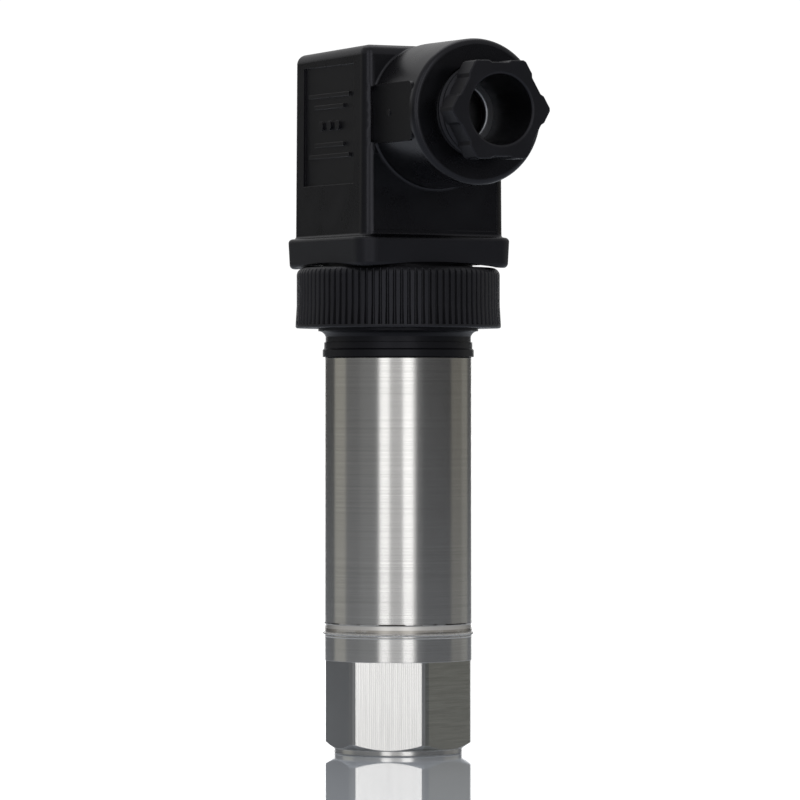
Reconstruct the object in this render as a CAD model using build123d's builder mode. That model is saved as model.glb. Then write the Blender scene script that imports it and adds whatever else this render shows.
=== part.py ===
from build123d import *
import math
import os

os.makedirs("parts", exist_ok=True)

# Pressure transmitter with an angled cable connector, in millimetres.
# The end face of the pressure port is z = 0, the body stands along +Z and the cable gland
# points along -Y. Heights are stacked from the port upwards.

# Clearances
snug_gap = 0.05         # pieces that are pushed into one another
running_gap = 0.3       # round pieces that move past one another
thread_gap = 0.1        # free play at the crest of a thread

# Pressure port
land_radius = 10.85
land_height = 0.9
land_chamfer = 0.15
spanner_size = 22.0     # across flats
hex_height = 14.9
hex_turn = -6.5         # degrees from +X to the nearest flat
hex_bevel = 33.0        # degrees
hex_inset = 0.15        # the hexagon's turned corners inside the body's radius
body_radius = 12.5
rim_height = 4.15       # round part above the hexagon
port_thread_radius = 6.58
port_thread_depth = 14.0
channel_radius = 2.0
seat_wall = 3.0         # metal between the port thread and the cell chamber

# Measuring cell
cell_margin = 0.6       # the cell's edge inside its retainer's
cell_thickness = 6.4
cell_side_gap = 0.2
cell_face_gap = 0.6     # the cell stands on its seal, clear of the metal
cell_seal_inset = 2.5   # the seal's circle inside the cell's edge
cell_seal_section = 1.7
cell_seal_groove = 1.1
retainer_rim = 1.6      # metal of the port round the retainer
retainer_wall = 3.0
retainer_height = 3.0
retainer_slot = 2.4
chamber_margin = 1.0    # port above the retainer

# Pins, board and its frame
pin_pitch = 2.54
pin_width = 0.64
cell_pin_radius = 0.25
cell_pin_lap = 2.5      # length soldered on the board
frame_gap = 0.3         # between the frame and the tube
frame_wall = 3.4
frame_foot = 2.5
post_width = 7.0
post_depth = 2.9
post_margin = 2.0       # post ends below the board's top
board_edge = 1.9        # the frame's posts outside the board
board_thickness = 1.6
chip_width = 7.5
chip_length = 10.3
chip_height = 2.3
chip_lead_pitch = 1.27
chip_lead_width = 0.45
chip_lead_reach = 1.2
chip_lead_thickness = 0.25
capacitor_length = 3.2
capacitor_width = 1.6
capacitor_height = 1.3
capacitor_spacing = 4.2
header_width = 10.4
header_depth = 2.6
header_height = 2.5
pin_lap = 3.5           # header pins on the board's face

# Body tube
tube_wall = 1.3
tube_length = 47.1
tube_chamfer = 0.25
joint_ridge = 0.08      # fine ridge on the port, just under the joint
joint_step = 0.2        # from the joint to the weld bead, and the ridge's height
weld_ridge = 0.25       # weld bead stands this proud
weld_ridge_height = 0.4
bead_margin = 0.3       # plain metal above the bead
weld_band = 1.0         # band that leans inwards, up to a turned line
band_lean = 0.2
turned_line = 0.15

# Threaded neck
neck_foot_depth = 6.5   # spigot inside the tube
neck_wall = 1.65
collar_proud = 0.3      # collar, step, waist, lip and thread core against the body's radius
collar_height = 1.35
collar_round = 0.2
step_proud = 0.05
step_height = 1.1
waist_inset = 0.2
waist_height = 1.9
lip_proud = 1.05
lip_height = 0.5
neck_core_proud = 0.8
neck_thread_length = 5.4
union_thread_height = 0.55
union_travel = 4.5      # how far the ring lifts the connector when it is undone
tube_seal_groove = 1.0
tube_seal_width = 1.6
tube_seal_drop = 3.2    # from the tube's top edge
carrier_seal_groove = 1.1
carrier_seal_width = 1.7

# Coupling ring
ring_wall = 3.25
ring_flare = 0.2
ring_flare_height = 3.4
ring_band = 0.4         # plain band under the ribs
ring_foot_round = 0.2
ring_top_round = 1.3
ring_lip = 2.4
rib_count = 90
rib_groove_width = 0.74
rib_floor_width = 0.18
rib_depth = 0.42
rib_start = 0.5         # from the ring's lower face

# Pin carrier
disc_thickness = 2.4
disc_proud = 0.4        # beyond the core of the union thread
ring_catch = 1.1        # width of the disc under the ring's lip
spigot_depth = 3.3
plate_rise = 0.6        # plate above the connector's skirt edge
plate_thickness = 1.6
plate_corner = 2.2
pedestal_height = 1.8
pedestal_inset = 1.3    # inside the wiring space
pedestal_corner = 1.5
bush_radius = 2.6
bush_depth = 6.5
blade_width = 6.3
blade_thickness = 0.8
blade_height = 11.0     # above the pedestal
blade_root = 1.2        # start of the blade above the disc's lower face
blade_tip = 0.25
tail_inset = 2.3        # inside the neck's bore
tail_width = 1.6
tail_end = 0.8          # tails stand this far out under the link board
link_board_inset = 0.9
link_board_thickness = 1.0
link_board_drop = 1.0   # below the spigot
link_socket_height = 8.0
link_hole_gap = 0.1

# Connector housing
skirt_drop = 0.1        # corners of the skirt hang below the coupling ring's top
skirt_flange = 1.3      # beyond the housing's wall
skirt_height = 5.1
skirt_corner = 3.0
skirt_draft = 3.0       # degrees, narrower at the bottom
skirt_round = 0.7
skirt_foot_round = 0.8
skirt_wall = 1.9
arch_rise = 0.8
arch_margin = 2.0
housing_half = 13.4
housing_height = 31.85
housing_corner = 2.0
housing_draft = 0.36    # degrees
housing_wall = 1.9
top_wall = 2.1
top_fall = 0.5          # the top slopes down away from the gland
top_round = 1.7
root_blend = 0.45       # between housing and skirt
front_sink = 0.2        # lower part of the front face is sunk
front_margin = 1.75     # from the housing's edges
front_rise = 1.0        # above the skirt
front_height = 12.6
front_ring = 0.1        # plain ring left round the barrel's blend
panel_margin = 4.2      # from the housing's edges
panel_height = 20.0
panel_rise = 8.8        # above the skirt
panel_depth = 0.45
bar_height = 0.3
bar_width = 0.65
long_bar_margin = 1.8   # from the panel's edges
short_bar_margin = 3.9
long_bar_offset = 5.1   # from the panel's middle
short_bar_offset = 3.2
stud_radius = 0.8
stud_pitch = 3.0
gasket_thickness = 1.2
gasket_gap = 0.2

# Gland
barrel_inset = 1.275    # narrower than the housing on both sides
barrel_proud = 0.425    # barrel above the housing's top
barrel_length = 14.8    # in front of the housing
barrel_root = 5.4       # inside the housing
barrel_root_round = 6.0
barrel_rim_round = 1.0
barrel_blend = 0.4
pad_cut = 0.475
pad_length = 13.9
pad_height = 9.8
pad_corner = 1.2
pad_margin = 1.6        # from the rim
gate_radius = 0.5       # moulding gate on each pad
gate_height = 0.12
gate_offset = 1.0       # from the pad's middle, away from the rim
nut_core_radius = 7.3
gland_thread_height = 0.55
nut_standoff = 3.6      # the nut is partly unscrewed
nut_size = 16.1         # across flats
nut_head = 4.2
nut_shank = 9.0
nut_turn = 1.0          # degrees
nut_bore = 5.75
nut_corner_cut = 0.15
nut_edge = 0.15         # chamfer round the front face
nut_bore_round = 0.5
sink_depth = 0.33       # the middle of each flat is sunk
sink_width = 4.3
sink_floor = 3.1
cable_bore = 4.2        # through the thrust washer and the grommet
washer_thickness = 1.6
washer_round = 0.6
grommet_length = 4.5
grommet_margin = 0.1    # left when the nut is screwed right in
cable_hole = 5.2

# Contact block
insert_height = 13.5
insert_gap = 0.15
insert_wall = 1.05      # outside the contact pockets
insert_corner = 1.0
insert_screw_hole = 1.9
socket_width = 7.4
socket_thickness = 2.6
socket_height = 11.6
socket_slot = 0.3       # more than the blade's thickness
clamp_depth = 3.0
clamp_width = 5.4
clamp_height = 5.5
clamp_gap = 0.1
clamp_screw_radius = 1.25
clamp_screw_head = 1.9
clamp_screw_head_height = 1.6
clamp_screw_slot = 0.6

# Central screw
screw_radius = 1.5
screw_gap = 0.05
screw_head_radius = 2.8
screw_head_height = 2.2
screw_slot_width = 0.8
screw_slot_depth = 1.2
screw_engagement = 5.4
screw_hole = 1.8
screw_washer_radius = 3.1
screw_washer_thickness = 0.6
screw_recess_radius = 3.5
screw_recess_depth = 3.2
screw_boss_radius = 4.8
screw_boss_height = 3.5

# Radii and half widths that follow from the sizes above
hex_radius = body_radius - hex_inset
tube_radius = body_radius - tube_wall
retainer_radius = tube_radius - retainer_rim
cell_radius = retainer_radius - cell_margin
cell_seal_radius = cell_radius - cell_seal_inset
frame_radius = tube_radius - frame_gap
frame_bore = frame_radius - frame_wall
board_width = 2 * (frame_radius - board_edge)
spigot_radius = tube_radius - snug_gap
neck_bore = spigot_radius - neck_wall
collar_radius = body_radius + collar_proud
step_radius = body_radius + step_proud
waist_radius = body_radius - waist_inset
lip_radius = body_radius + lip_proud
neck_core_radius = body_radius + neck_core_proud
carrier_seal_radius = (neck_bore + neck_core_radius) / 2
ring_bore = neck_core_radius + union_thread_height + thread_gap
ring_radius = ring_bore + ring_wall
disc_radius = neck_core_radius + disc_proud
carrier_neck_radius = disc_radius - ring_catch
tail_radius = neck_bore - tail_inset
link_board_radius = neck_bore - link_board_inset
skirt_half = housing_half + skirt_flange
pocket_half = skirt_half - skirt_wall
gasket_half = pocket_half - gasket_gap
cavity_half = housing_half - housing_wall
pedestal_half = cavity_half - pedestal_inset
blade_circle = cavity_half - insert_gap - insert_wall - socket_thickness / 2
panel_half = housing_half - panel_margin
front_half = housing_half - front_margin
barrel_radius = housing_half - barrel_inset
barrel_reach = housing_half + barrel_length
barrel_start = housing_half - barrel_root
pad_plane = barrel_radius - pad_cut
gland_bore = nut_core_radius + gland_thread_height + thread_gap
washer_radius = nut_core_radius - running_gap

# Heights, and distances along the gland
hex_top = land_height + hex_height
port_rim = hex_top + rim_height
chamber_floor = port_thread_depth + seat_wall
cell_bottom = chamber_floor + cell_face_gap
cell_top = cell_bottom + cell_thickness
port_top = cell_top + retainer_height + chamber_margin
tube_top = port_rim + tube_length
neck_foot = tube_top - neck_foot_depth
collar_top = tube_top + collar_height
step_top = collar_top + step_height
waist_top = step_top + waist_height
ring_bottom = waist_top + lip_height
neck_top = ring_bottom + neck_thread_length
disc_top = neck_top + disc_thickness
ring_top = disc_top + ring_lip
skirt_bottom = ring_top - skirt_drop
skirt_top = skirt_bottom + skirt_height
housing_top = skirt_top + housing_height
plate_bottom = skirt_bottom + plate_rise
plate_top = plate_bottom + plate_thickness
shelf = plate_top + gasket_thickness
pedestal_top = plate_top + pedestal_height
insert_top = pedestal_top + insert_height
spigot_bottom = neck_top - spigot_depth
link_board_top = spigot_bottom - link_board_drop
link_board_bottom = link_board_top - link_board_thickness
link_socket_bottom = link_board_bottom - link_socket_height
frame_top = port_top + frame_foot
board_top = neck_foot - header_height
gland_height = housing_top + barrel_proud - barrel_radius
nut_back = barrel_reach + nut_standoff
shank_end = nut_back - nut_shank
washer_end = shank_end - washer_thickness
grommet_face = washer_end - nut_standoff - grommet_margin
grommet_foot = grommet_face - grommet_length
thread_end = shank_end - nut_standoff - running_gap
recess_floor = housing_top - screw_recess_depth
cavity_top = housing_top - top_wall - top_fall

# Working planes of the gland: one through its axis, with x outwards and y as radius, and one
# across it at a distance d from the transmitter's axis
gland_axis = Axis((0, 0, gland_height), (0, -1, 0))
gland_plane = Plane(origin=(0, 0, gland_height), x_dir=(0, -1, 0), z_dir=(-1, 0, 0))


def across_gland(distance):
    return Plane(origin=(0, -distance, gland_height), x_dir=(1, 0, 0), z_dir=(0, -1, 0))


def save(piece, name):
    piece.part.label = name
    export_step(piece.part, f"parts/{name}.step")


# Pressure port: turned profile, six milled flats, then the thread bore, channel and cell chamber
flat_reach = spanner_size / 2
bevel_rise = (hex_radius - land_radius) * math.tan(math.radians(hex_bevel))
chamber_radius = cell_radius + cell_side_gap

with BuildPart() as pressure_port:
    with BuildSketch(Plane.XZ):
        with BuildLine():
            Polyline(
                (0, 0),
                (land_radius - land_chamfer, 0),
                (land_radius, land_chamfer),
                (land_radius, land_height),
                (hex_radius, land_height + bevel_rise),
                (hex_radius, hex_top),
                (body_radius, hex_top),
                (body_radius, port_rim - joint_step),
                (body_radius + joint_ridge, port_rim - joint_step / 2),
                (body_radius, port_rim),
                (tube_radius, port_rim),
                (tube_radius, port_top),
                (0, port_top),
                close=True,
            )
        make_face()
    revolve(axis=Axis.Z)
    with BuildSketch(Plane.XY.offset(land_height)):
        Circle(body_radius + spanner_size)
        RegularPolygon(flat_reach, 6, major_radius=False, rotation=hex_turn + 30, mode=Mode.SUBTRACT)
    extrude(amount=hex_height, mode=Mode.SUBTRACT)
    with BuildSketch(Plane.XZ):
        with BuildLine():
            groove_inner = cell_seal_radius - cell_seal_section / 2
            groove_outer = cell_seal_radius + cell_seal_section / 2
            groove_floor = chamber_floor - cell_seal_groove
            Polyline(
                (0, 0),
                (port_thread_radius, 0),
                (port_thread_radius, port_thread_depth),
                (channel_radius, port_thread_depth),
                (channel_radius, chamber_floor),
                (groove_inner, chamber_floor),
                (groove_inner, groove_floor),
                (groove_outer, groove_floor),
                (groove_outer, chamber_floor),
                (chamber_radius, chamber_floor),
                (chamber_radius, cell_top),
                (retainer_radius, cell_top),
                (retainer_radius, port_top),
                (0, port_top),
                close=True,
            )
        make_face()
    revolve(axis=Axis.Z, mode=Mode.SUBTRACT)
save(pressure_port, "pressure_port")

# Measuring cell on its seal, held down by a threaded ring with two spanner slots
seal_minor = (cell_seal_groove + cell_face_gap) / 2
with BuildPart() as cell_seal:
    with BuildSketch(Plane.XZ):
        with Locations((cell_seal_radius, cell_bottom - seal_minor)):
            Circle(seal_minor)
    revolve(axis=Axis.Z)
save(cell_seal, "cell_seal")

with BuildPart() as ceramic_cell:
    with BuildSketch(Plane.XY.offset(cell_bottom)):
        Circle(cell_radius)
    extrude(amount=cell_thickness)
    chamfer(ceramic_cell.edges().filter_by(GeomType.CIRCLE), length=cell_side_gap)
save(ceramic_cell, "ceramic_cell")

with BuildPart() as cell_retainer:
    with BuildSketch(Plane.XY.offset(cell_top)):
        Circle(retainer_radius)
        Circle(retainer_radius - retainer_wall, mode=Mode.SUBTRACT)
    extrude(amount=retainer_height)
    with BuildSketch(Plane.XY.offset(cell_top + retainer_height)):
        Rectangle(2 * body_radius, retainer_slot)
    extrude(amount=-retainer_height / 2, mode=Mode.SUBTRACT)
save(cell_retainer, "cell_retainer")

pin_row = [((i - 1.5) * pin_pitch) for i in range(4)]
cell_pin_y = board_thickness / 2 + cell_pin_radius
with BuildPart() as cell_pins:
    with BuildSketch(Plane.XY.offset(cell_top)):
        with Locations([(x, cell_pin_y) for x in pin_row]):
            Circle(cell_pin_radius)
    extrude(amount=frame_top + cell_pin_lap - cell_top)
save(cell_pins, "cell_pins")

# Board frame: a ring on the port's neck with two slotted posts
with BuildPart() as board_frame:
    with BuildSketch(Plane.XY.offset(port_top)):
        Circle(frame_radius)
        Circle(frame_bore, mode=Mode.SUBTRACT)
    extrude(amount=frame_foot)
    with BuildSketch(Plane.XY.offset(frame_top)):
        Circle(frame_radius)
        Rectangle(2 * frame_radius, post_width, mode=Mode.INTERSECT)
        Rectangle(2 * (frame_radius - post_depth), 2 * frame_radius, mode=Mode.SUBTRACT)
        Rectangle(board_width + 2 * snug_gap, board_thickness + 2 * snug_gap, mode=Mode.SUBTRACT)
    extrude(amount=board_top - post_margin - frame_top)
save(board_frame, "board_frame")

board_height = board_top - frame_top
board_middle = (board_top + frame_top) / 2
with BuildPart() as amplifier_board:
    with BuildSketch(Plane.XY.offset(frame_top)):
        Rectangle(board_width, board_thickness)
    extrude(amount=board_height)
save(amplifier_board, "amplifier_board")

board_face = Plane.XZ.offset(board_thickness / 2)
with BuildPart() as signal_chip:
    with BuildSketch(board_face):
        with Locations((0, board_middle)):
            Rectangle(chip_length, chip_width)
    extrude(amount=chip_height)
    with BuildSketch(board_face):
        with Locations((0, board_middle)):
            with GridLocations(chip_lead_pitch, chip_width + chip_lead_reach, 8, 2):
                Rectangle(chip_lead_width, chip_lead_reach)
    extrude(amount=chip_lead_thickness)
save(signal_chip, "signal_chip")

with BuildPart() as filter_capacitors:
    with BuildSketch(board_face.offset(-board_thickness)):
        with Locations((0, board_middle)):
            with GridLocations(capacitor_spacing, capacitor_spacing, 2, 2):
                Rectangle(capacitor_length, capacitor_width)
    extrude(amount=-capacitor_height)
save(filter_capacitors, "filter_capacitors")

# Plug-in link to the connector's base: a pin header on the board and a socket above it
header_y = board_thickness / 2 + pin_width / 2
with BuildPart() as board_header:
    with BuildSketch(Plane.XY.offset(board_top)):
        with Locations((0, header_y)):
            Rectangle(header_width, header_depth)
        with Locations([(x, header_y) for x in pin_row]):
            Rectangle(pin_width, pin_width, mode=Mode.SUBTRACT)
    extrude(amount=header_height)
save(board_header, "board_header")

pin_engagement = union_travel + 1.0
with BuildPart() as header_pins:
    with BuildSketch(Plane.XY.offset(board_top - pin_lap)):
        with Locations([(x, header_y) for x in pin_row]):
            Rectangle(pin_width, pin_width)
    extrude(amount=link_socket_bottom + pin_engagement - board_top + pin_lap)
save(header_pins, "header_pins")

# Body tube, with the weld bead and a fine turned line at its lower end
bead_low = port_rim + joint_step
bead_high = bead_low + weld_ridge_height
band_low = bead_high + bead_margin
band_high = band_low + weld_band
with BuildPart() as body_tube:
    with BuildSketch(Plane.XZ):
        with BuildLine():
            Polyline(
                (tube_radius, port_rim),
                (body_radius, port_rim),
                (body_radius, bead_low),
                (body_radius + weld_ridge, (bead_low + bead_high) / 2),
                (body_radius, bead_high),
                (body_radius, band_low),
                (body_radius - band_lean, band_high),
                (body_radius, band_high + turned_line),
                (body_radius, tube_top - tube_chamfer),
                (body_radius - tube_chamfer, tube_top),
                (tube_radius, tube_top),
                close=True,
            )
        make_face()
    revolve(axis=Axis.Z)
save(body_tube, "body_tube")

# Threaded neck: spigot in the tube, collar, stepped waist and the core of the union thread
seal_groove_top = tube_top - tube_seal_drop
seal_groove_low = seal_groove_top - tube_seal_width
seal_groove_floor = spigot_radius - tube_seal_groove
top_groove_inner = carrier_seal_radius - carrier_seal_width / 2
top_groove_outer = carrier_seal_radius + carrier_seal_width / 2
with BuildPart() as threaded_neck:
    with BuildSketch(Plane.XZ):
        with BuildLine():
            Polyline(
                (waist_radius, waist_top - waist_height / 2),
                (waist_radius, step_top),
                (step_radius, step_top),
                (step_radius, collar_top),
                (collar_radius - collar_round, collar_top),
                (collar_radius, collar_top - collar_round),
                (collar_radius, tube_top),
                (spigot_radius, tube_top),
                (spigot_radius, seal_groove_top),
                (seal_groove_floor, seal_groove_top),
                (seal_groove_floor, seal_groove_low),
                (spigot_radius, seal_groove_low),
                (spigot_radius, neck_foot),
                (neck_bore, neck_foot),
                (neck_bore, neck_top),
                (top_groove_inner, neck_top),
                (top_groove_inner, neck_top - carrier_seal_groove),
                (top_groove_outer, neck_top - carrier_seal_groove),
                (top_groove_outer, neck_top),
                (neck_core_radius, neck_top),
                (neck_core_radius, ring_bottom),
                (lip_radius, ring_bottom),
                (lip_radius, waist_top),
            )
            TangentArc(
                (lip_radius, waist_top),
                (waist_radius, waist_top - waist_height / 2),
                tangent=(-1, 0),
            )
        make_face()
    revolve(axis=Axis.Z)
save(threaded_neck, "threaded_neck")

tube_seal_minor = (tube_radius - seal_groove_floor) / 2
with BuildPart() as tube_seal:
    with BuildSketch(Plane.XZ):
        with Locations((seal_groove_floor + tube_seal_minor, (seal_groove_top + seal_groove_low) / 2)):
            Circle(tube_seal_minor)
    revolve(axis=Axis.Z)
save(tube_seal, "tube_seal")

carrier_seal_minor = (carrier_seal_groove - snug_gap) / 2
with BuildPart() as carrier_seal:
    with BuildSketch(Plane.XZ):
        with Locations((carrier_seal_radius, neck_top - carrier_seal_groove + carrier_seal_minor)):
            Circle(carrier_seal_minor)
    revolve(axis=Axis.Z)
save(carrier_seal, "carrier_seal")

# Coupling ring: revolved section with a lip at the top, then the ribs cut all round
rib_angle = math.degrees(math.atan2(rib_depth + ring_flare, (rib_groove_width - rib_floor_width) / 2))
with BuildPart() as coupling_ring:
    with BuildSketch(Plane.XZ):
        with BuildLine():
            Polyline(
                (ring_bore, ring_bottom),
                (ring_radius + ring_flare - ring_foot_round, ring_bottom),
                (ring_radius + ring_flare, ring_bottom + ring_foot_round),
                (ring_radius + ring_flare, ring_bottom + ring_band),
                (ring_radius, ring_bottom + ring_band + ring_flare_height),
                (ring_radius, ring_top - ring_top_round),
            )
            RadiusArc(
                (ring_radius, ring_top - ring_top_round),
                (ring_radius - ring_top_round, ring_top),
                -ring_top_round,
            )
            Polyline(
                (ring_radius - ring_top_round, ring_top),
                (carrier_neck_radius + running_gap, ring_top),
                (carrier_neck_radius + running_gap, disc_top),
                (disc_radius + running_gap, disc_top),
                (disc_radius + running_gap, neck_top),
                (ring_bore, neck_top),
                (ring_bore, ring_bottom),
            )
        make_face()
    revolve(axis=Axis.Z)
    with BuildSketch(Plane.XY.offset(ring_bottom + rib_start)):
        with PolarLocations(ring_radius + ring_flare, rib_count):
            with Locations((-(rib_depth + ring_flare) / 2, 0)):
                Trapezoid(rib_groove_width, rib_depth + ring_flare, rib_angle, rotation=90)
    extrude(amount=ring_top - ring_bottom - rib_start, mode=Mode.SUBTRACT)
save(coupling_ring, "coupling_ring")

# Pin carrier: spigot in the neck, disc under the ring's lip, neck, square plate and pedestal
blade_bottom = neck_top + blade_root
tail_bottom = link_board_bottom - tail_end
blade_top = pedestal_top + blade_height
contact_angles = (180, 270, 360)
earth_angle = 90


def make_blades(angles):
    # flat blade on the contact circle, a short step inwards and a narrow tail down to the link board
    with BuildPart() as shape:
        for angle in angles:
            turned = Plane.XY.offset(blade_bottom).rotated((0, 0, angle))
            with BuildSketch(turned):
                with Locations((blade_circle, 0)):
                    Rectangle(blade_thickness, blade_width)
            extrude(amount=blade_top - blade_bottom)
            with BuildSketch(turned):
                with Locations(((blade_circle + tail_radius) / 2, 0)):
                    Rectangle(blade_circle - tail_radius + blade_thickness, tail_width)
            extrude(amount=blade_thickness)
            with BuildSketch(turned):
                with Locations((tail_radius, 0)):
                    Rectangle(blade_thickness, tail_width)
            extrude(amount=tail_bottom - blade_bottom)
        tips = shape.edges().filter_by_position(Axis.Z, blade_top - blade_tip / 2, blade_top + blade_tip / 2)
        chamfer(tips.group_by(SortBy.LENGTH)[-1], length=blade_tip)
    return shape


contact_blades = make_blades(contact_angles)
save(contact_blades, "contact_blades")

earth_blade = make_blades((earth_angle,))
save(earth_blade, "earth_blade")

with BuildPart() as pin_carrier:
    with BuildSketch(Plane.XZ):
        with BuildLine():
            Polyline(
                (0, spigot_bottom),
                (neck_bore - running_gap, spigot_bottom),
                (neck_bore - running_gap, neck_top),
                (disc_radius, neck_top),
                (disc_radius, disc_top),
                (carrier_neck_radius, disc_top),
                (carrier_neck_radius, plate_bottom),
                (0, plate_bottom),
                close=True,
            )
        make_face()
    revolve(axis=Axis.Z)
    with BuildSketch(Plane.XY.offset(plate_bottom)):
        RectangleRounded(2 * gasket_half, 2 * gasket_half, plate_corner)
    extrude(amount=plate_thickness)
    with BuildSketch(Plane.XY.offset(plate_top)):
        RectangleRounded(2 * pedestal_half, 2 * pedestal_half, pedestal_corner)
    extrude(amount=pedestal_height)
    with BuildSketch(Plane.XY.offset(pedestal_top)):
        Circle(bush_radius)
    extrude(amount=-bush_depth, mode=Mode.SUBTRACT)
    add(contact_blades.part, mode=Mode.SUBTRACT)
    add(earth_blade.part, mode=Mode.SUBTRACT)
save(pin_carrier, "pin_carrier")

with BuildPart() as screw_bush:
    with BuildSketch(Plane.XY.offset(pedestal_top)):
        Circle(bush_radius)
    extrude(amount=-bush_depth)
    with BuildSketch(Plane.XY.offset(pedestal_top)):
        Circle(screw_radius + screw_gap)
    extrude(amount=-(screw_engagement + screw_gap), mode=Mode.SUBTRACT)
save(screw_bush, "screw_bush")

with BuildPart() as link_board:
    with BuildSketch(Plane.XY.offset(link_board_bottom)):
        Circle(link_board_radius)
        with PolarLocations(tail_radius, 4):
            Rectangle(blade_thickness, tail_width, mode=Mode.SUBTRACT)
    extrude(amount=link_board_thickness)
save(link_board, "link_board")

with BuildPart() as link_socket:
    with BuildSketch(Plane.XY.offset(link_socket_bottom)):
        with Locations((0, header_y)):
            Rectangle(header_width, header_depth)
    extrude(amount=link_socket_height)
    with BuildSketch(Plane.XY.offset(link_socket_bottom)):
        with Locations([(x, header_y) for x in pin_row]):
            Rectangle(pin_width + 2 * link_hole_gap, pin_width + 2 * link_hole_gap)
    extrude(amount=pin_engagement + link_hole_gap, mode=Mode.SUBTRACT)
save(link_socket, "link_socket")

# Profile gasket: flat square frame between the base's plate and the housing's shelf
with BuildPart() as profile_gasket:
    with BuildSketch(Plane.XY.offset(plate_top)):
        RectangleRounded(2 * gasket_half, 2 * gasket_half, plate_corner)
        RectangleRounded(
            2 * (pedestal_half + gasket_gap),
            2 * (pedestal_half + gasket_gap),
            pedestal_corner,
            mode=Mode.SUBTRACT,
        )
    extrude(amount=gasket_thickness)
save(profile_gasket, "profile_gasket")

# Connector housing: drafted skirt and body, gland barrel on one side, then the hollows
with BuildPart() as connector_housing:
    skirt_narrow = skirt_half - skirt_height * math.tan(math.radians(skirt_draft))
    with BuildSketch(Plane.XY.offset(skirt_bottom)):
        RectangleRounded(2 * skirt_narrow, 2 * skirt_narrow, skirt_corner)
    extrude(amount=skirt_height, taper=-skirt_draft)
    fillet(connector_housing.faces().sort_by(Axis.Z)[-1].edges(), radius=skirt_round)
    fillet(connector_housing.faces().sort_by(Axis.Z)[0].edges(), radius=skirt_foot_round)
    with BuildSketch(Plane.XY.offset(skirt_top)):
        RectangleRounded(2 * housing_half, 2 * housing_half, housing_corner)
    extrude(amount=housing_height, taper=housing_draft)
    with BuildSketch(Plane.YZ):
        with BuildLine():
            Polyline(
                (-housing_half, housing_top),
                (housing_half, housing_top - top_fall),
                (housing_half, housing_top + top_fall),
                (-housing_half, housing_top + top_fall),
                close=True,
            )
        make_face()
    extrude(amount=housing_half, both=True, mode=Mode.SUBTRACT)
    fillet(connector_housing.faces().sort_by(Axis.Z)[-1].edges(), radius=top_round)
    with BuildSketch(gland_plane):
        with BuildLine():
            FilletPolyline(
                (barrel_start, 0),
                (barrel_start, barrel_radius),
                (barrel_reach, barrel_radius),
                (barrel_reach, 0),
                radius=[barrel_root_round, barrel_rim_round],
            )
            Line((barrel_reach, 0), (barrel_start, 0))
        make_face()
    revolve(axis=gland_axis)
    # blends between skirt and body, and where the barrel leaves the front face
    foot_edges = connector_housing.edges().filter_by_position(
        Axis.Z, skirt_top - snug_gap, skirt_top + snug_gap
    )
    foot_reach = housing_half + root_blend / 2
    fillet(
        [edge for edge in foot_edges if max(abs(edge.center().X), abs(edge.center().Y)) < foot_reach],
        radius=root_blend,
    )
    front_edges = connector_housing.edges().filter_by(GeomType.BSPLINE)
    front_edges = front_edges.filter_by_position(Axis.Y, -housing_half - snug_gap, -cavity_half - snug_gap)
    fillet(front_edges.sort_by(SortBy.LENGTH)[-1], radius=barrel_blend)
    # lower part of the front face, sunk up to a plain ring round the barrel
    with BuildSketch(across_gland(housing_half - front_sink)):
        with Locations((0, skirt_top + front_rise + front_height / 2 - gland_height)):
            Rectangle(2 * front_half, front_height)
        Circle(barrel_radius + barrel_blend + front_ring, mode=Mode.SUBTRACT)
    extrude(amount=front_sink, mode=Mode.SUBTRACT)
    # flat pads on both flanks of the barrel, each with the mark of its moulding gate
    pad_middle = barrel_reach - pad_margin - pad_length / 2
    for side in (-1, 1):
        pad_face = Plane(origin=(side * pad_plane, 0, gland_height), x_dir=(0, -1, 0), z_dir=(side, 0, 0))
        with BuildSketch(pad_face):
            with Locations((pad_middle, 0)):
                RectangleRounded(pad_length, pad_height, pad_corner)
        extrude(amount=barrel_radius - pad_plane, mode=Mode.SUBTRACT)
        with BuildSketch(pad_face):
            with Locations((pad_middle, 0)):
                RectangleRounded(pad_length, pad_height, pad_corner)
        extrude(amount=-(barrel_radius - pad_plane + barrel_blend))
        with BuildSketch(pad_face):
            with Locations((pad_middle - gate_offset, 0)):
                Circle(gate_radius)
        extrude(amount=gate_height)
    # shallow arches under the skirt, gasket pocket and wiring space
    arch_half_span = skirt_half - arch_margin
    arch_radius = (arch_half_span**2 + arch_rise**2) / (2 * arch_rise)
    for plane in (Plane.XZ, Plane.YZ):
        with BuildSketch(plane):
            with Locations((0, skirt_bottom + arch_rise - arch_radius)):
                Circle(arch_radius)
        extrude(amount=2 * skirt_half, both=True, mode=Mode.SUBTRACT)
    with BuildSketch(Plane.XY.offset(skirt_bottom)):
        RectangleRounded(2 * pocket_half, 2 * pocket_half, plate_corner + gasket_gap)
    extrude(amount=shelf - skirt_bottom, mode=Mode.SUBTRACT)
    with BuildSketch(Plane.XY.offset(shelf)):
        RectangleRounded(2 * cavity_half, 2 * cavity_half, insert_corner + insert_gap)
    extrude(amount=cavity_top - shelf, mode=Mode.SUBTRACT)
    # boss, sunk seat and hole of the central screw
    with BuildSketch(Plane.XY.offset(recess_floor - screw_boss_height)):
        Circle(screw_boss_radius)
    extrude(amount=cavity_top - recess_floor + screw_boss_height)
    with BuildSketch(Plane.XY.offset(recess_floor)):
        Circle(screw_recess_radius)
    extrude(amount=screw_recess_depth, mode=Mode.SUBTRACT)
    with BuildSketch(Plane.XY.offset(recess_floor - screw_boss_height)):
        Circle(screw_hole)
    extrude(amount=screw_boss_height, mode=Mode.SUBTRACT)
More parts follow.
